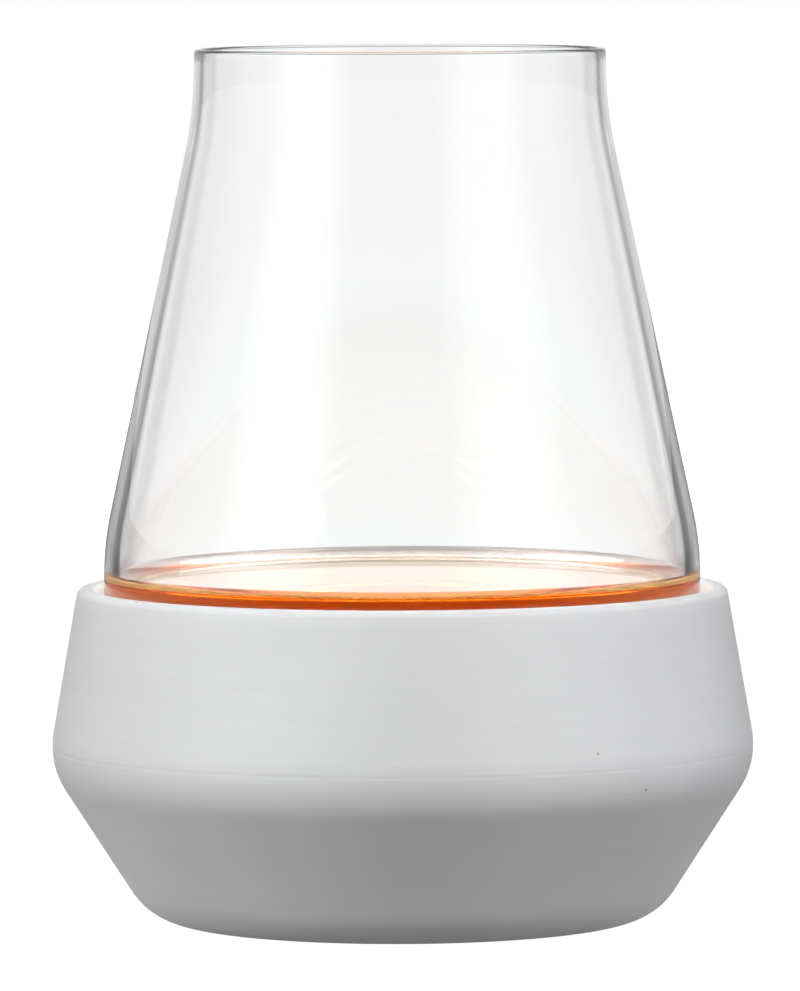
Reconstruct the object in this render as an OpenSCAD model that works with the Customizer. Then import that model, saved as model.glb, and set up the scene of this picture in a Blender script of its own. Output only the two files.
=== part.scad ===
// Whisky glass that sits in a soft moulded holder, with a drink poured in it.
// Z is the axis of the glass and points up. The origin is the centre of the holder's foot.

/* [Glass] */
// Height of the glass from its standing ring to its rim
glass_height = 96.2; // [88:0.2:110]
// Outer diameter of the straight mouth
mouth_diameter = 57.6; // [54:0.2:66]
// Height of the straight mouth, down to the bend of the neck
mouth_height = 8.4; // [7.2:0.2:14]
// Radius of the concave bend of the neck
neck_bend = 60; // [20:1:60]
// Outer diameter at the widest part of the bowl
bowl_diameter = 83.6; // [74:0.2:84]
// Height above the standing ring where the flank turns upright
shoulder_height = 26.8; // [26:0.2:34]
// Radius of the bend from the flank to the upright wall
shoulder_bend = 45; // [15:1:50]
// Radius of the heel, from the upright wall to the base
heel_round = 20; // [16:0.5:20.6]
// Thickness of the wall at the rim
rim_wall = 1.2; // [1:0.1:1.8]
// Thickness of the wall at the bowl
bowl_wall = 2; // [1.6:0.1:2.8]
// Thickness of the floor
floor_wall = 3.6; // [2.6:0.1:4]
// Outer diameter of the push-up inside the standing ring
punt_diameter = 30; // [16:1:36]
// Rise of the push-up
punt_rise = 1.2; // [0.6:0.1:1.6]

/* [Drink] */
// Depth of the drink over the inner floor of the glass
pour_depth = 18; // [10:0.2:40]
// Radius of the curve in which the drink climbs the wall
meniscus_bend = 2.2; // [1:0.1:3.2]

/* [Holder] */
// Height of the holder
holder_height = 47; // [44:0.1:60]
// Depth of the seat below the lip
seat_depth = 20.8; // [20.4:0.2:26]
// Diameter of the mouth of the seat
seat_diameter = 86; // [86:0.2:92]
// Thickness of the lip
lip_wall = 2.5; // [2.2:0.1:5]
// Diameter of the belly, to the corner before it is rounded
belly_diameter = 99.6; // [96:0.2:112]
// Height of that corner above the table
belly_height = 22.4; // [17:0.1:28]
// Radius of the rounded belly
belly_round = 11.2; // [2:0.2:16]
// Diameter of the foot, to the corner before it is rounded
foot_diameter = 70.6; // [66:0.2:84]
// Radius of the rounded edge of the foot
foot_round = 9.6; // [1:0.2:12]
// Diameter of the recess under the foot
recess_diameter = 50; // [30:1:54]
// Depth of the recess under the foot
recess_depth = 1.6; // [0.8:0.1:3]

/* [Hidden] */
$fn = 96;

// Largest distance between an arc and the straight steps that stand for it
chord_error = 0.02;
// Largest part of a wall's thickness that the radius of its rounded edge may take
edge_share = 0.48;
// Slant of the seat's wall, which lets the glass lift out
seat_draft = 0.6;
// How much smaller the seat's heel is than the heel of the glass
heel_relief = 1;
// Gap that keeps the drink's skin off the wall of the glass
skin_gap = 0.02;
// Angle at which the drink meets the wall
contact_angle = 20;
// Slant of the step into the recess under the foot, and the radius of its two edges
recess_step = 1.6;
recess_round = 0.7;
// Width of the step from the standing ring into the push-up, and the radius of its two edges
punt_step = 5;
punt_round = 4;

// Height of the seat's floor, on which the glass stands
seat_floor = holder_height - seat_depth;
mouth_radius = mouth_diameter / 2;
bowl_radius = bowl_diameter / 2;
seat_radius = seat_diameter / 2;
neck_height = glass_height - mouth_height;

function unit(v) = v / norm(v);

// Number of straight steps for an arc
function arc_steps(radius, turn) = max(2, ceil(turn / (2 * acos(1 - chord_error / radius))));

// Points of the arc that rounds one corner of a path
function corner_arc(before, corner, after, radius) =
    let (
        back = unit(before - corner),
        ahead = unit(after - corner),
        half_angle = acos(back * ahead) / 2,
        centre = corner + unit(back + ahead) * radius / sin(half_angle),
        spoke = corner + back * radius / tan(half_angle) - centre,
        start = atan2(spoke.y, spoke.x),
        turn = 180 - 2 * half_angle,
        way = -sign(cross(back, ahead)),
        steps = arc_steps(radius, turn)
    )
    [
        for (i = [0 : steps])
            let (a = start + way * turn * i / steps)
            centre + radius * [cos(a), sin(a)]
    ];

function flat(corner) = [corner.x, corner.y];

// An open path of [x, y, radius] corners with each corner rounded; a radius of 0 leaves it sharp
function rounded(path) = [
    for (i = [0 : len(path) - 1])
        each path[i].z == 0
            ? [flat(path[i])]
            : corner_arc(flat(path[i - 1]), flat(path[i]), flat(path[i + 1]), path[i].z)
];

// Outside of the glass, from the middle of its base out and up to the rim
function glass_outside() = [
    [0, punt_rise, 0],
    [punt_diameter / 2 - punt_step, punt_rise, punt_round],
    [punt_diameter / 2, 0, punt_round],
    [bowl_radius, 0, heel_round],
    [bowl_radius, shoulder_height, shoulder_bend],
    [mouth_radius, neck_height, neck_bend],
    [mouth_radius, glass_height, rim_wall * edge_share]
];

// Inside of the glass, from its rim down and in to the middle of its floor
function glass_inside(gap = 0) = [
    [mouth_radius - rim_wall - gap, glass_height, rim_wall * edge_share],
    [mouth_radius - rim_wall - gap, neck_height, neck_bend],
    [bowl_radius - bowl_wall - gap, shoulder_height, shoulder_bend],
    [bowl_radius - bowl_wall - gap, floor_wall + gap, heel_round - bowl_wall - gap],
    [0, floor_wall + gap, 0]
];

// Outline of the drink: the inside of the glass up to its level, then the curve down from the wall
function pour_outline() =
    let (
        level = floor_wall + pour_depth,
        climb = meniscus_bend * (1 - sin(contact_angle)),
        reach = meniscus_bend * cos(contact_angle),
        wall = rounded(concat([[mouth_radius, glass_height, 0]], glass_inside(skin_gap))),
        edge_radius = lookup(level + climb, [for (p = wall) [p.y, p.x]]),
        sweep = 90 - contact_angle,
        steps = arc_steps(meniscus_bend, sweep)
    )
    concat(
        [[0, level]],
        [
            for (i = [0 : steps])
                let (a = sweep * i / steps)
                [edge_radius - reach + meniscus_bend * sin(a), level + meniscus_bend * (1 - cos(a))]
        ],
        [for (p = wall) if (p.y < level + climb) p]
    );

// Outline of the holder: its underside, outside, lip and seat
function holder_outline() = [
    [0, recess_depth, 0],
    [recess_diameter / 2 - recess_step, recess_depth, recess_round],
    [recess_diameter / 2, 0, recess_round],
    [foot_diameter / 2, 0, foot_round],
    [belly_diameter / 2, belly_height, belly_round],
    [seat_radius + lip_wall, holder_height, lip_wall * edge_share],
    [seat_radius, holder_height, lip_wall * edge_share],
    [seat_radius - seat_draft, seat_floor, heel_round - heel_relief],
    [0, seat_floor, 0]
];

module holder() {
    color([0.85, 0.85, 0.84])
        rotate_extrude()
            polygon(rounded(holder_outline()));
}

module glass_bowl() {
    color([0.86, 0.91, 0.93, 0.35])
        translate([0, 0, seat_floor])
            rotate_extrude()
                polygon(rounded(concat(glass_outside(), glass_inside())));
}

module whisky_pour() {
    color([0.88, 0.47, 0.09, 0.8])
        translate([0, 0, seat_floor])
            rotate_extrude()
                polygon(pour_outline());
}

holder();
glass_bowl();
whisky_pour();
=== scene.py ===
"""A whisky glass in its soft moulded holder: meshes, materials, studio and camera."""
import math

import bmesh
import bpy
from mathutils import Matrix, Vector


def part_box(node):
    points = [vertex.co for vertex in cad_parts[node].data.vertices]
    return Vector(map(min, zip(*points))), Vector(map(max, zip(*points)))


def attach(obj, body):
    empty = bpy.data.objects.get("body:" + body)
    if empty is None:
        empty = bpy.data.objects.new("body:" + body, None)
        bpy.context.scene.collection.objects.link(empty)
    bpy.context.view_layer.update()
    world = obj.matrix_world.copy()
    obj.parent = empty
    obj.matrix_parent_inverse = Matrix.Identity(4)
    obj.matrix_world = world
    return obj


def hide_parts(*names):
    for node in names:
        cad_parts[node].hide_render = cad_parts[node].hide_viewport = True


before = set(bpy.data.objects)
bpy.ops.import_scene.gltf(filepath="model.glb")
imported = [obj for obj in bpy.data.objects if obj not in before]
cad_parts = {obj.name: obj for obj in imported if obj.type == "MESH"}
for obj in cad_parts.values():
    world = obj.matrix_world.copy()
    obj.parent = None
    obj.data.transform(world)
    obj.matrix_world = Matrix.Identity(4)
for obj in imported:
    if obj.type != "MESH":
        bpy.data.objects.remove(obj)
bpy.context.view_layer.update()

# Sizes of the part are in millimetres until a mesh is made. The studio and the camera are in metres.
MM = 0.001

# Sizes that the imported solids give.
GLASS_LOW, GLASS_HIGH = (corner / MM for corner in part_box("glass_bowl"))
HOLDER_HEIGHT = (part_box("holder")[1] / MM).z
SEAT_FLOOR = GLASS_LOW.z
GLASS_HEIGHT = GLASS_HIGH.z - GLASS_LOW.z

# Glass, as in the part's source.
MOUTH_RADIUS = 28.8
MOUTH_HEIGHT = 8.4
NECK_BEND = 60.0
BOWL_RADIUS = 41.8
SHOULDER_HEIGHT = 26.8
SHOULDER_BEND = 45.0
HEEL_ROUND = 20.0
RIM_WALL = 1.2
BOWL_WALL = 2.0
FLOOR_WALL = 3.6
PUNT_RADIUS = 15.0
PUNT_RISE = 1.2
PUNT_STEP = 5.0
PUNT_ROUND = 4.0
NECK_HEIGHT = GLASS_HEIGHT - MOUTH_HEIGHT
# Radius of a wall's rounded edge, as a share of the wall's thickness.
EDGE_SHARE = 0.48

# Drink. Its level and the height up to which it wets the wall are above the base of the glass.
POUR_DEPTH = 18.0
POUR_LEVEL = FLOOR_WALL + POUR_DEPTH
MENISCUS_BEND = 2.2
CONTACT_ANGLE = math.radians(20)
WET_HEIGHT = POUR_LEVEL + MENISCUS_BEND * (1 - math.sin(CONTACT_ANGLE))
# The drink's skin lies this far inside the wall of the glass, so that no film of air shows between them.
WETTING = 0.12

# Holder.
SEAT_RADIUS = 43.0
LIP_WALL = 2.5
BELLY_RADIUS = 49.77
BELLY_HEIGHT = 22.4
BELLY_ROUND = 11.2
FOOT_RADIUS = 35.3
FOOT_ROUND = 9.6
RECESS_RADIUS = 25.0
RECESS_DEPTH = 1.6
RECESS_STEP = 1.6
RECESS_ROUND = 0.7
# The soft seat clings to the heel of the glass at this angle round its bend, pressed in by this much.
CLING_ANGLE = math.radians(28)
CLING = 0.1
# The seat's own bend, and the gap between its floor and the base of the glass.
SEAT_BEND = 24.0
SEAT_CLEARANCE = 0.02
# Depth below the lip at which the seat starts to close in on the glass.
FUNNEL = 3.6
# The mould's parting line, a fine groove round the widest part of the belly.
PARTING_DEPTH = 0.06
PARTING_WIDTH = 0.4

# Fineness of the meshes.
SEGMENTS = 256
CHORD_ERROR = 0.002
LONGEST_STEP = 2.5
FEWEST_STEPS = 4
MENISCUS_STEPS = 24
SEAT_STEPS = 48
SHARP_ANGLE = math.radians(40)
# A point nearer to the axis than this lies on it.
ON_AXIS = 1e-6


def rounded(corners):
    """Turns [r, z, radius] corners into points, with each corner that has a radius drawn as an arc."""
    points = []
    for i, (r, z, radius) in enumerate(corners):
        corner = Vector((r, z))
        if not radius:
            points.append(corner)
            continue
        back = (Vector(corners[i - 1][:2]) - corner).normalized()
        ahead = (Vector(corners[i + 1][:2]) - corner).normalized()
        half_angle = back.angle(ahead) / 2
        centre = corner + (back + ahead).normalized() * radius / math.sin(half_angle)
        spoke = corner + back * radius / math.tan(half_angle) - centre
        way = 1 if back.cross(ahead) < 0 else -1
        turn = math.pi - 2 * half_angle
        steps = max(FEWEST_STEPS, math.ceil(turn / (2 * math.acos(1 - CHORD_ERROR / radius))))
        for k in range(steps + 1):
            angle = way * turn * k / steps
            points.append(centre + Matrix.Rotation(angle, 2) @ spoke)
    return points


def filled(points):
    """Adds points along the long straight stretches of an outline."""
    out = [points[0]]
    for a, b in zip(points, points[1:]):
        steps = max(1, math.ceil((b - a).length / LONGEST_STEP))
        out += [a.lerp(b, k / steps) for k in range(1, steps + 1)]
    return out


def turned(name, outline, base=0.0, wet=()):
    """Makes a closed mesh by turning an outline, which starts and ends on the axis, about Z.

    Faces that start at the outline's points in wet touch another clear body; the attribute dry is 0 there.
    """
    mesh = bmesh.new()
    dry = []
    rings = []
    for r, z in outline:
        height = (z + base) * MM
        if r < ON_AXIS:
            rings.append([mesh.verts.new((0, 0, height))])
            continue
        angles = (2 * math.pi * k / SEGMENTS for k in range(SEGMENTS))
        rings.append([mesh.verts.new((r * MM * math.cos(a), r * MM * math.sin(a), height)) for a in angles])
    for row, (low, high) in enumerate(zip(rings, rings[1:])):
        for k in range(SEGMENTS):
            n = (k + 1) % SEGMENTS
            if len(low) == 1:
                mesh.faces.new((low[0], high[n], high[k]))
            elif len(high) == 1:
                mesh.faces.new((low[k], low[n], high[0]))
            else:
                mesh.faces.new((low[k], low[n], high[n], high[k]))
            dry.append(row not in wet)
    bmesh.ops.recalc_face_normals(mesh, faces=mesh.faces)
    for face in mesh.faces:
        face.smooth = True
    for edge in mesh.edges:
        edge.smooth = edge.calc_face_angle() < SHARP_ANGLE
    data = bpy.data.meshes.new(name)
    mesh.to_mesh(data)
    mesh.free()
    data.attributes.new("dry", "FLOAT", "FACE").data.foreach_set("value", dry)
    piece = bpy.data.objects.new(name, data)
    bpy.context.scene.collection.objects.link(piece)
    return piece


def glass_outside():
    """Corners of the outside of the glass, from the middle of its base to its rim."""
    return [
        (0, PUNT_RISE, 0),
        (PUNT_RADIUS - PUNT_STEP, PUNT_RISE, PUNT_ROUND),
        (PUNT_RADIUS, 0, PUNT_ROUND),
        (BOWL_RADIUS, 0, HEEL_ROUND),
        (BOWL_RADIUS, SHOULDER_HEIGHT, SHOULDER_BEND),
        (MOUTH_RADIUS, NECK_HEIGHT, NECK_BEND),
        (MOUTH_RADIUS, GLASS_HEIGHT, RIM_WALL * EDGE_SHARE),
    ]


def glass_inside(grow=0.0):
    """Corners of the inside of the glass, from its rim to its floor; grow moves them into the wall."""
    rim = MOUTH_RADIUS - RIM_WALL + grow
    side = BOWL_RADIUS - BOWL_WALL + grow
    floor = FLOOR_WALL - grow
    return [
        (rim, GLASS_HEIGHT, RIM_WALL * EDGE_SHARE),
        (rim, NECK_HEIGHT, NECK_BEND),
        (side, SHOULDER_HEIGHT, SHOULDER_BEND),
        (side, floor, HEEL_ROUND - BOWL_WALL + grow),
        (0, floor, 0),
    ]


def glass_outline():
    """Outline of the glass: its outside, its rim and its inside."""
    return filled(rounded(glass_outside() + glass_inside()))


def pour_outline():
    """Outline of the drink: its level, the curve in which it climbs the wall, and the inside of the glass."""
    inside = filled(rounded([(MOUTH_RADIUS, GLASS_HEIGHT, 0)] + glass_inside(WETTING)))
    under = next(i for i, p in enumerate(inside) if p.y < WET_HEIGHT)
    above, below = inside[under - 1], inside[under]
    edge = above.lerp(below, (above.y - WET_HEIGHT) / (above.y - below.y))
    start = edge.x - MENISCUS_BEND * math.cos(CONTACT_ANGLE)
    sweep = math.pi / 2 - CONTACT_ANGLE
    curve = []
    for k in range(MENISCUS_STEPS):
        a = sweep * k / MENISCUS_STEPS
        climb = MENISCUS_BEND * (1 - math.cos(a))
        curve.append(Vector((start + MENISCUS_BEND * math.sin(a), POUR_LEVEL + climb)))
    surface = filled([Vector((0, POUR_LEVEL)), curve[0]])
    return surface + curve[1:] + [edge] + inside[under:]


def seat_arc():
    """Heel of the seat, from its wall to its floor.

    It bends less than the glass and clings to it at one height.
    """
    slack = SEAT_BEND - HEEL_ROUND
    away = Vector((math.cos(CLING_ANGLE), -math.sin(CLING_ANGLE)))
    centre = Vector((BOWL_RADIUS - HEEL_ROUND, SEAT_FLOOR + HEEL_ROUND)) - slack * away
    radius = SEAT_BEND - CLING
    first = math.asin((centre.y - HOLDER_HEIGHT + FUNNEL) / radius)
    last = math.asin((centre.y - SEAT_FLOOR + SEAT_CLEARANCE) / radius)
    angles = [first + (last - first) * k / SEAT_STEPS for k in range(SEAT_STEPS + 1)]
    return [centre + radius * Vector((math.cos(a), -math.sin(a))) for a in angles]


def groove_edges(points, widest):
    """The groove's two edges, on the outline, with its bottom between them."""
    half = PARTING_WIDTH / 2
    outer = [(a, b) for a, b in zip(points, points[1:]) if a.x > SEAT_RADIUS]
    edges = []
    for height in (widest.y - half, widest.y + half):
        a, b = next((a, b) for a, b in outer if a.y < height <= b.y)
        edges.append(a.lerp(b, (height - a.y) / (b.y - a.y)))
    return [edges[0], Vector((widest.x - PARTING_DEPTH, widest.y)), edges[1]]


def parted(points):
    """Cuts the parting line's groove in the widest part of an outline."""
    widest = max(points, key=lambda p: p.x)
    middle = points.index(widest)
    low = [p for p in points[:middle] if p.y < widest.y - PARTING_WIDTH / 2]
    high = [p for p in points[middle:] if p.y > widest.y + PARTING_WIDTH / 2]
    return low + groove_edges(points, widest) + high


def holder_outline():
    """Outline of the holder: its underside, outside, lip and seat."""
    seat = seat_arc()
    points = rounded([
        (0, RECESS_DEPTH, 0),
        (RECESS_RADIUS - RECESS_STEP, RECESS_DEPTH, RECESS_ROUND),
        (RECESS_RADIUS, 0, RECESS_ROUND),
        (FOOT_RADIUS, 0, FOOT_ROUND),
        (BELLY_RADIUS, BELLY_HEIGHT, BELLY_ROUND),
        (SEAT_RADIUS + LIP_WALL, HOLDER_HEIGHT, LIP_WALL * EDGE_SHARE),
        (SEAT_RADIUS, HOLDER_HEIGHT, LIP_WALL * EDGE_SHARE),
        (*seat[0], 0),
    ])
    return filled(parted(points[:-1]) + seat + [Vector((0, SEAT_FLOOR - SEAT_CLEARANCE))])


def wetted(outline):
    """Points of an outline, past its highest one, that lie below the edge of the drink."""
    top = max(range(len(outline)), key=lambda i: outline[i].y)
    return {i for i in range(top, len(outline)) if outline[i].y <= WET_HEIGHT + WETTING}


# How much the clear bodies bend light.
GLASS_IOR = 1.52
WHISKY_IOR = 1.36
# Faint tints of smeared glass and of the streaks in the drink, and how rough they are at most.
CLEAR = (1, 1, 1)
SMEAR = (0.985, 0.99, 0.988)
SMEAR_ROUGHNESS = 0.02
STREAK = (1, 0.99, 0.96)
STREAK_ROUGHNESS = 0.01
# The colour that the drink turns light to, and how strongly.
AMBER = (0.95, 0.7, 0.02)
AMBER_DENSITY = 100
# The silicone's deepest and palest tone, its range of roughness, and how far light scatters in it.
SILICONE_DEEP = (0.823, 0.825, 0.825)
SILICONE_PALE = (0.853, 0.855, 0.853)
SILICONE_ROUGHNESS = (0.44, 0.58)
SILICONE_SCATTER = 1.5
# The mould's turning marks: how often they change across the holder and up it, per metre.
MARKS = (25, 25, 2200)
# Dust: its colour, the number of places per metre, and the size of a speck as a share of its place.
DUST = (0.4, 0.39, 0.38)
DUST_PLACES = 80
DUST_SIZE = 0.02
# Depths of the waves in the blown wall, of the ripples on the drink and of the silicone's grain.
WAVE_DEPTH = 0.04
RIPPLE_DEPTH = 0.01
GRAIN_DEPTH = 0.004
# The part of a noise pattern's range that most of it lies in.
NOISE_RANGE = (0.3, 0.7)
# Numbers of the colour sockets of a Mix node.
MIX_FIRST, MIX_SECOND, MIX_RESULT = 6, 7, 2


def shader(name):
    """A new material, with its node tree and its Principled shader."""
    material = bpy.data.materials.new(name)
    material.use_nodes = True
    tree = material.node_tree
    return material, tree, tree.nodes["Principled BSDF"]


def add(tree, kind, inputs=None, **settings):
    """Adds a node; each of its inputs is linked to a socket or set to a value."""
    node = tree.nodes.new(kind)
    for setting, value in settings.items():
        setattr(node, setting, value)
    for place, value in (inputs or {}).items():
        if isinstance(value, bpy.types.NodeSocket):
            tree.links.new(value, node.inputs[place])
        else:
            node.inputs[place].default_value = value
    return node


def noise(tree, place, scale, detail):
    """A noise pattern, with its scale per metre."""
    return add(tree, "ShaderNodeTexNoise", {"Vector": place, "Scale": scale, "Detail": detail}).outputs["Fac"]


def spread(tree, value, source, target=(0, 1)):
    """Maps one range onto another."""
    inputs = {"Value": value, "From Min": source[0], "From Max": source[1]}
    inputs |= {"To Min": target[0], "To Max": target[1]}
    return add(tree, "ShaderNodeMapRange", inputs).outputs[0]


def math_node(tree, operation, *values):
    """The result of a sum on values, each a socket or a number."""
    return add(tree, "ShaderNodeMath", dict(enumerate(values)), operation=operation).outputs[0]


def mixed(tree, share, first, second):
    """Mixes two colours, each a socket or a fixed one."""
    ends = [end if isinstance(end, bpy.types.NodeSocket) else (*end, 1) for end in (first, second)]
    inputs = {"Factor": share, MIX_FIRST: ends[0], MIX_SECOND: ends[1]}
    return add(tree, "ShaderNodeMix", inputs, data_type="RGBA").outputs[MIX_RESULT]


def bumped(tree, principled, height, depth):
    """Bumps a surface by up to the given depth."""
    bump = add(tree, "ShaderNodeBump", {"Height": height, "Strength": 1.0, "Distance": depth * MM})
    tree.links.new(bump.outputs[0], principled.inputs["Normal"])


def absorb(tree, colour, density):
    """Makes a body take light away the deeper the light goes through it."""
    volume = add(tree, "ShaderNodeVolumeAbsorption", {"Color": (*colour, 1), "Density": density})
    tree.links.new(volume.outputs[0], tree.nodes["Material Output"].inputs["Volume"])


def clear(name, ior):
    """A clear body, which mirrors nothing straight on where it touches another clear body."""
    material, tree, principled = shader(name)
    principled.inputs["Transmission Weight"].default_value = 1
    principled.inputs["IOR"].default_value = ior
    dry = add(tree, "ShaderNodeAttribute", attribute_name="dry")
    tree.links.new(dry.outputs["Fac"], principled.inputs["Specular Tint"])
    place = add(tree, "ShaderNodeTexCoord").outputs["Object"]
    return material, tree, principled, place


def glass_material():
    """Clear crystal with the slight waves of a blown wall and faint smears of a polishing cloth."""
    material, tree, principled, place = clear("clear_glass", GLASS_IOR)
    smear = spread(tree, noise(tree, place, scale=45, detail=4), (0.6, 0.75))
    tree.links.new(mixed(tree, smear, CLEAR, SMEAR), principled.inputs["Base Color"])
    tree.links.new(spread(tree, smear, (0, 1), (0, SMEAR_ROUGHNESS)), principled.inputs["Roughness"])
    bumped(tree, principled, noise(tree, place, scale=28, detail=1), WAVE_DEPTH)
    return material


def whisky_material():
    """Amber drink, with streaks of a paler and a deeper tone in it and a surface that isn't quite still."""
    material, tree, principled, place = clear("whisky", WHISKY_IOR)
    streak = noise(tree, place, scale=35, detail=2)
    tint = mixed(tree, spread(tree, streak, NOISE_RANGE), STREAK, CLEAR)
    tree.links.new(tint, principled.inputs["Base Color"])
    tree.links.new(spread(tree, streak, NOISE_RANGE, (0, STREAK_ROUGHNESS)), principled.inputs["Roughness"])
    bumped(tree, principled, noise(tree, place, scale=60, detail=0), RIPPLE_DEPTH)
    absorb(tree, AMBER, AMBER_DENSITY)
    return material


def silicone_material():
    """Matt white silicone: cloudy, with the fine turning marks of its mould, a dull grain and some dust."""
    material, tree, principled = shader("holder_silicone")
    place = add(tree, "ShaderNodeTexCoord").outputs["Object"]
    along = add(tree, "ShaderNodeMapping", {"Vector": place, "Scale": MARKS}).outputs[0]
    cloud = noise(tree, place, scale=90, detail=3)
    marks = noise(tree, along, scale=1, detail=2)
    tone = spread(tree, math_node(tree, "ADD", cloud, marks), (0.7, 1.3))
    colour = mixed(tree, tone, SILICONE_DEEP, SILICONE_PALE)
    dust = add(tree, "ShaderNodeTexVoronoi", {"Vector": place, "Scale": DUST_PLACES}).outputs["Distance"]
    speck = math_node(tree, "LESS_THAN", dust, DUST_SIZE)
    tree.links.new(mixed(tree, speck, colour, DUST), principled.inputs["Base Color"])
    dull = spread(tree, noise(tree, place, scale=300, detail=2), NOISE_RANGE, SILICONE_ROUGHNESS)
    tree.links.new(dull, principled.inputs["Roughness"])
    grain = noise(tree, place, scale=4000, detail=2)
    bumped(tree, principled, math_node(tree, "ADD", grain, marks), GRAIN_DEPTH)
    principled.inputs["Subsurface Weight"].default_value = 1
    principled.inputs["Subsurface Radius"].default_value = (1, 1, 1)
    principled.inputs["Subsurface Scale"].default_value = SILICONE_SCATTER * MM
    return material


def dress(made, material, body, node):
    """Gives a piece its material and ties it to the frame."""
    made.data.materials.append(material)
    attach(made, body)
    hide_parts(node)


holder = turned("moulded_holder", holder_outline())
dress(holder, silicone_material(), "holder", "holder")
bowl = turned("crystal_bowl", glass_outline(), SEAT_FLOOR, wetted(glass_outline()))
dress(bowl, glass_material(), "glass", "glass_bowl")
pour = turned("amber_pour", pour_outline(), SEAT_FLOOR, wetted(pour_outline()))
dress(pour, whisky_material(), "glass", "whisky_pour")

# The lamps light the holder as if the thin glass weren't there.
bowl.visible_shadow = False
bowl.visible_diffuse = False

# Studio. Each kind of ray sees its own surround, as if flags and screens stood in the way of the others.
RAYS = ("camera", "diffuse", "glossy", "transmission", "volume_scatter", "shadow")
STUDIO_SEGMENTS = 96
STUDIO_RADIUS = 2.6
RING_RADIUS = 1.2
FLOOR_RADIUS = 2.5
FLOOR_TONE = (0.2, 0.2, 0.2)
# Heights of the screens behind the glass, from the ceiling down, as seen through it.
CEILING = 2.0
MID_TOP = 0.16
FLAG_TOP = -0.58
FLAG_BOTTOM = -1.05
PIT = -2.4
# Heights on the wall behind between which the low stops fade into the others.
BEHIND_FADE = (-0.115, -0.04)
# Tint of the low stops straight behind, which balances the warm light that the far wall mirrors from the
# drink, and the angle in degrees over which it fades out.
LOW_TINT = (-0.045, 0.04, 0.04)
TINT_REACH = 9
# A grey flag close behind the glass, which its lower edges mirror.
EDGE_FLAG_RADIUS = 0.3
EDGE_FLAG_HEIGHT = 0.08
EDGE_FLAG_REACH = 70
# Two layers just under the floor, the lower one first, and the size of the glow on the table.
UNDER_FLOOR = -0.002
GLOW_HEIGHT = -0.001
GLOW_RADIUS = 0.08

# What is seen through the glass: white straight behind, grey beside it and dark flags that draw the edges.
# A list of stops holds angles from straight behind, in degrees, each with the level there.
BEHIND = [
    (0, 0.93), (3.6, 0.95), (7.3, 0.82), (11, 0.64), (14, 0.5), (24, 0.5),
    (26, 0.16), (33, 0.16), (38, 0.9), (180, 0.95),
]
BEHIND_LOW = [
    (0, 0.96), (3.6, 0.99), (7.3, 0.95), (11, 0.8), (14, 0.5), (18, 0.26), (24, 0.2),
    (26, 0.06), (33, 0.06), (38, 0.7), (60, 0.95), (180, 0.95),
]
# A flag low behind the glass, which draws the far edge of the drink.
LOW_FLAG = [(0, 0.42), (20, 0.42), (32, 0.95), (180, 0.95)]
# Grey below that flag, which draws the rim.
BELOW_FLAG = [(0, 0.75), (20, 0.75), (32, 0.95), (180, 0.95)]
# The light over the glass, strongest behind it.
OVERHEAD = [(0, 1.15), (90, 1.0), (180, 0.75)]
# What the glass mirrors besides the softboxes: the white behind it at a grazing angle.
MIRRORED = [(0, 1.0), (12, 0.85), (25, 0.75), (32, 1.0), (45, 0.83), (60, 0.55), (70, 0.05), (180, 0.05)]
# The table that it mirrors, dark in front.
MIRRORED_NEAR = [(0, 0.45), (100, 0.45), (130, 0.1), (180, 0.1)]
# What lights the holder, apart from the lamps: cards beside the camera.
AMBIENT = [(0, 0.04), (130, 0.04), (150, 0.5), (180, 0.55)]


def levels(tree, share, stops, tint=(0, 0, 0)):
    """A ramp of grey levels over the share of a half turn; a tint is added near its start."""
    def shade(degrees, level):
        """The colour at one stop."""
        return [level * (1 + part * max(0, 1 - degrees / TINT_REACH)) for part in tint]
    ramp = add(tree, "ShaderNodeValToRGB", {0: share})
    elements = ramp.color_ramp.elements
    for element, (degrees, level) in zip([elements[0], elements[-1]], [stops[0], stops[-1]]):
        element.position = degrees / 180
        element.color = (*shade(degrees, level), 1)
    for degrees, level in stops[1:-1]:
        elements.new(degrees / 180).color = (*shade(degrees, level), 1)
    return ramp.outputs[0]


def emitter(name, strength, stops=None, low_stops=None):
    """A glowing material; stops make it vary with the angle from +Y.

    With low_stops it turns from those to stops between the two heights of BEHIND_FADE.
    """
    material = bpy.data.materials.new(name)
    material.use_nodes = True
    tree = material.node_tree
    tree.nodes.remove(tree.nodes["Principled BSDF"])
    glow = add(tree, "ShaderNodeEmission", {"Strength": strength})
    tree.links.new(glow.outputs[0], tree.nodes["Material Output"].inputs["Surface"])
    if stops:
        place = add(tree, "ShaderNodeTexCoord").outputs["Object"]
        parts = add(tree, "ShaderNodeSeparateXYZ", {0: place}).outputs
        bearing = math_node(tree, "ARCTAN2", parts["X"], parts["Y"])
        share = math_node(tree, "DIVIDE", math_node(tree, "ABSOLUTE", bearing), math.pi)
        colour = levels(tree, share, stops)
        if low_stops:
            height = spread(tree, parts["Z"], BEHIND_FADE)
            colour = mixed(tree, height, levels(tree, share, low_stops, LOW_TINT), colour)
        tree.links.new(colour, glow.inputs["Color"])
    return material


def floor_material():
    """The pale floor, which glows white and takes a little light from the lamps."""
    material = emitter("pale_floor", 1.0)
    tree = material.node_tree
    paint = add(tree, "ShaderNodeBsdfDiffuse", {"Color": (*FLOOR_TONE, 1)})
    both = add(tree, "ShaderNodeAddShader", {0: tree.nodes["Emission"].outputs[0], 1: paint.outputs[0]})
    tree.links.new(both.outputs[0], tree.nodes["Material Output"].inputs["Surface"])
    return material


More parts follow.
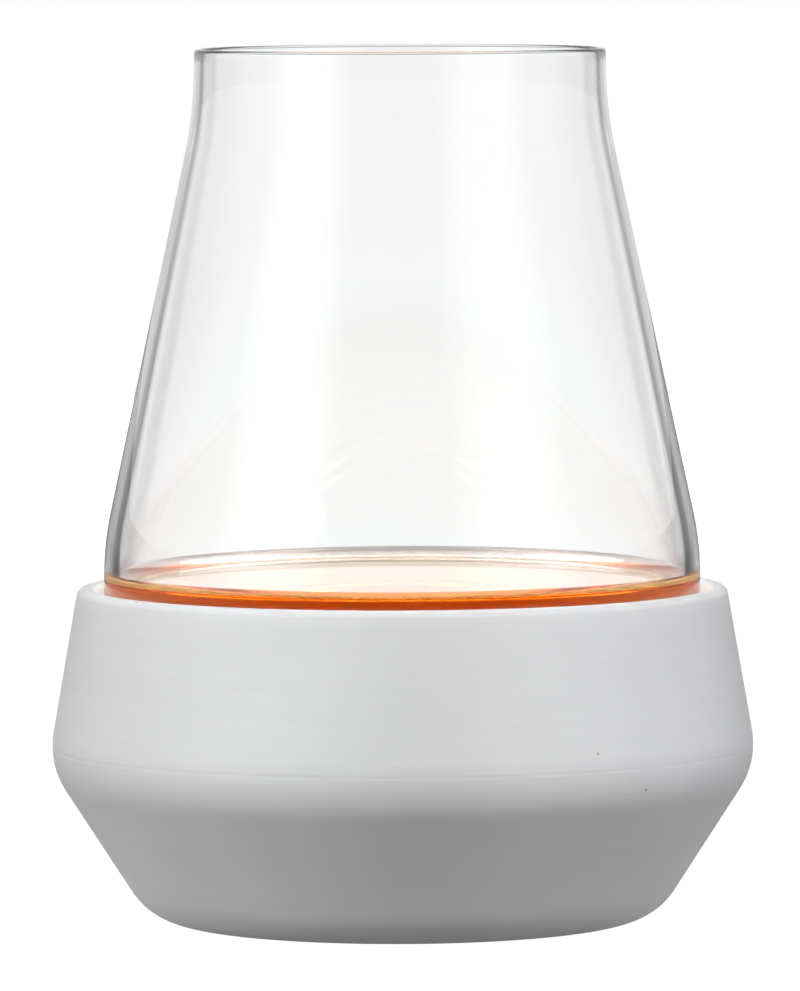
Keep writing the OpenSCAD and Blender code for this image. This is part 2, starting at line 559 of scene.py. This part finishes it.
def disc(radius, height):
    """A flat disc about Z."""
    mesh = bmesh.new()
    bmesh.ops.create_circle(mesh, cap_ends=True, radius=radius, segments=STUDIO_SEGMENTS)
    bmesh.ops.translate(mesh, verts=mesh.verts, vec=(0, 0, height))
    data = bpy.data.meshes.new("disc")
    mesh.to_mesh(data)
    mesh.free()
    return data


def band(first, second, reach=180):
    """A band between two (radius, height) edges, up to an angle of reach on both sides of +Y."""
    mesh = bmesh.new()
    rings = []
    for radius, height in (first, second):
        angles = (math.radians(reach * (2 * k / STUDIO_SEGMENTS - 1)) for k in range(STUDIO_SEGMENTS + 1))
        rings.append([mesh.verts.new((radius * math.sin(a), radius * math.cos(a), height)) for a in angles])
    for k in range(STUDIO_SEGMENTS):
        mesh.faces.new((rings[0][k], rings[0][k + 1], rings[1][k + 1], rings[1][k]))
    data = bpy.data.meshes.new("band")
    mesh.to_mesh(data)
    mesh.free()
    return data


def wall(low, high):
    """The studio's round wall between two heights."""
    return band((STUDIO_RADIUS, low), (STUDIO_RADIUS, high))


def ring(height):
    """A flat ring from the studio's wall inwards."""
    return band((STUDIO_RADIUS, height), (RING_RADIUS, height))


def stage(name, data, material, *seen_by):
    """Adds a part of the studio that only the named kinds of ray can see."""
    data.name = name
    data.materials.append(material)
    obj = bpy.data.objects.new(name, data)
    bpy.context.scene.collection.objects.link(obj)
    for ray in RAYS:
        setattr(obj, "visible_" + ray, ray in seen_by)
    return obj


stage("floor", disc(FLOOR_RADIUS, 0.0), floor_material(), "camera", "shadow")

edge_flag = band((EDGE_FLAG_RADIUS, 0.0), (EDGE_FLAG_RADIUS, EDGE_FLAG_HEIGHT), EDGE_FLAG_REACH)
# Each screen's name, the rays that see it, its mesh, its strength and its stops.
SCREENS = [
    ("backlight_high", "transmission", wall(MID_TOP, CEILING), 1.5, BEHIND),
    ("backlight_mid", "transmission", wall(FLAG_TOP, MID_TOP), 1.0, BEHIND, BEHIND_LOW),
    ("low_flag", "transmission", wall(FLAG_BOTTOM, FLAG_TOP), 1.0, LOW_FLAG),
    ("backlight_low", "transmission", wall(PIT, FLAG_BOTTOM), 1.0, BELOW_FLAG),
    ("backlight_under", "transmission", disc(STUDIO_RADIUS, PIT), 0.95),
    ("overhead", "transmission", ring(CEILING), 16, OVERHEAD),
    ("zenith", "transmission", disc(RING_RADIUS, CEILING), 1.0),
    ("mirrored", "glossy", wall(0.0, CEILING), 1.0, MIRRORED),
    ("mirrored_top", "glossy", disc(STUDIO_RADIUS, CEILING), 0.8),
    ("mirrored_table", "glossy", ring(0.0), 0.9),
    ("mirrored_near", "glossy", disc(RING_RADIUS, 0.0), 1.0, MIRRORED_NEAR),
    ("edge_flag", "glossy", edge_flag, 0.35),
    ("ambient_side", "diffuse", wall(0.0, CEILING), 1.0, AMBIENT),
    ("ambient_top", "diffuse", disc(STUDIO_RADIUS, CEILING), 0.03),
    ("ambient_low", "diffuse", disc(STUDIO_RADIUS, UNDER_FLOOR), 0.09),
    ("table_glow", "diffuse", disc(GLOW_RADIUS, GLOW_HEIGHT), 0.2),
]
for screen, ray, mesh, strength, *stops in SCREENS:
    stage(screen, mesh, emitter(screen, strength, *stops), ray)

world = bpy.data.worlds.new("studio")
bpy.context.scene.world = world
world.use_nodes = True
world.node_tree.nodes["Background"].inputs["Color"].default_value = (1, 1, 1, 1)
world.node_tree.nodes["Background"].inputs["Strength"].default_value = 1.0
world.cycles_visibility.diffuse = False
world.cycles_visibility.glossy = False
world.cycles_visibility.transmission = False

# Softboxes that are only mirrored. Each fades out over a share of its half width, down to a last level.
SOFTBOX_DISTANCE = 1.2
SOFTBOX_LOW = 0.02
SOFTBOX_HIGH = 1.1
SOFTBOX_EDGE = 0.45
SOFTBOX_END = 0.03
# Each softbox's name, azimuth, half width in degrees and strength. Azimuth 0 is the camera's side, and it
# grows to the right.
SOFTBOXES = [
    ("softbox_left", -52, 18, 2.4),
    ("softbox_right", 47, 20, 1.9),
]
# Lamps that light the holder from this distance, aimed at a point on its axis.
LAMP_DISTANCE = 1.3
LAMP_TARGET = Vector((0, 0, 0.03))
# Each lamp's name, azimuth, elevation, size in metres, power in watts and colour.
LAMPS = [
    ("key_left", -86, 8, 0.36, 6.2, (0.98, 1, 0.985)),
    ("key_left_high", -55, 45, 0.6, 1, (0.99, 1, 0.985)),
    ("key_right", 90, 8, 0.36, 4.6, (0.95, 0.96, 1)),
    ("key_right_high", 55, 45, 0.6, 1.8, (0.965, 0.97, 1)),
    ("key_front", -1, 44, 0.6, 10.3, (0.98, 0.988, 1)),
    ("key_back", 180, 4, 0.6, 8, (1, 1, 1)),
]


def softbox(name, azimuth, half_width, strength):
    """An upright softbox with soft edges, which is only mirrored in the glass."""
    start = half_width * (1 - SOFTBOX_EDGE)
    end = half_width * (1 + SOFTBOX_EDGE)
    glow = emitter(name, strength, [(0, 1), (start, 1), (end, SOFTBOX_END), (180, SOFTBOX_END)])
    front = band((SOFTBOX_DISTANCE, SOFTBOX_LOW), (SOFTBOX_DISTANCE, SOFTBOX_HIGH), end)
    panel = stage(name, front, glow, "glossy")
    panel.rotation_euler.z = math.radians(180 + azimuth)


def lamp(name, azimuth, elevation, size, power, colour):
    """A square lamp that lights the holder, and isn't itself seen, mirrored or seen through the glass."""
    data = bpy.data.lights.new(name, "AREA")
    data.energy = power
    data.color = colour
    data.size = size
    light = bpy.data.objects.new(name, data)
    bpy.context.scene.collection.objects.link(light)
    a = math.radians(azimuth)
    e = math.radians(elevation)
    out = Vector((math.sin(a) * math.cos(e), -math.cos(a) * math.cos(e), math.sin(e)))
    light.location = LAMP_TARGET + out * LAMP_DISTANCE
    light.rotation_mode = "QUATERNION"
    light.rotation_quaternion = out.to_track_quat("Z", "Y")
    light.visible_camera = False
    light.visible_glossy = False
    light.visible_transmission = False


for row in SOFTBOXES:
    softbox(*row)
for row in LAMPS:
    lamp(*row)

# Camera, at the photograph's place: in front, a little above the rim, with a long lens.
CAMERA_DISTANCE = 1.322
CAMERA_HEIGHT = 0.148
CAMERA_PITCH = math.radians(3.82)
CAMERA_ROLL = math.radians(-0.25)
CAMERA_YAW = math.radians(0.011)
CAMERA_REACH = 50
# Width of the sensor in millimetres, and the focal length and the photograph's height in pixels.
SENSOR_WIDTH = 36
FOCAL_PIXELS = 9451
IMAGE_HEIGHT = 991
lens = bpy.data.cameras.new("camera")
lens.sensor_width = SENSOR_WIDTH
lens.lens = SENSOR_WIDTH * FOCAL_PIXELS / IMAGE_HEIGHT
lens.clip_end = CAMERA_REACH
camera = bpy.data.objects.new("camera", lens)
bpy.context.scene.collection.objects.link(camera)
stand = Matrix.Translation((0, -CAMERA_DISTANCE, CAMERA_HEIGHT))
aim = Matrix.Rotation(CAMERA_YAW, 4, "Z") @ Matrix.Rotation(math.pi / 2 - CAMERA_PITCH, 4, "X")
camera.matrix_world = stand @ aim @ Matrix.Rotation(CAMERA_ROLL, 4, "Z")
bpy.context.scene.camera = camera

# Light has to pass many clear surfaces, and its mirrored specks on matt ones are left out as noise.
scene = bpy.context.scene
scene.view_settings.view_transform = "Standard"
scene.cycles.max_bounces = 32
scene.cycles.transmission_bounces = 24
scene.cycles.glossy_bounces = 12
scene.cycles.caustics_reflective = False
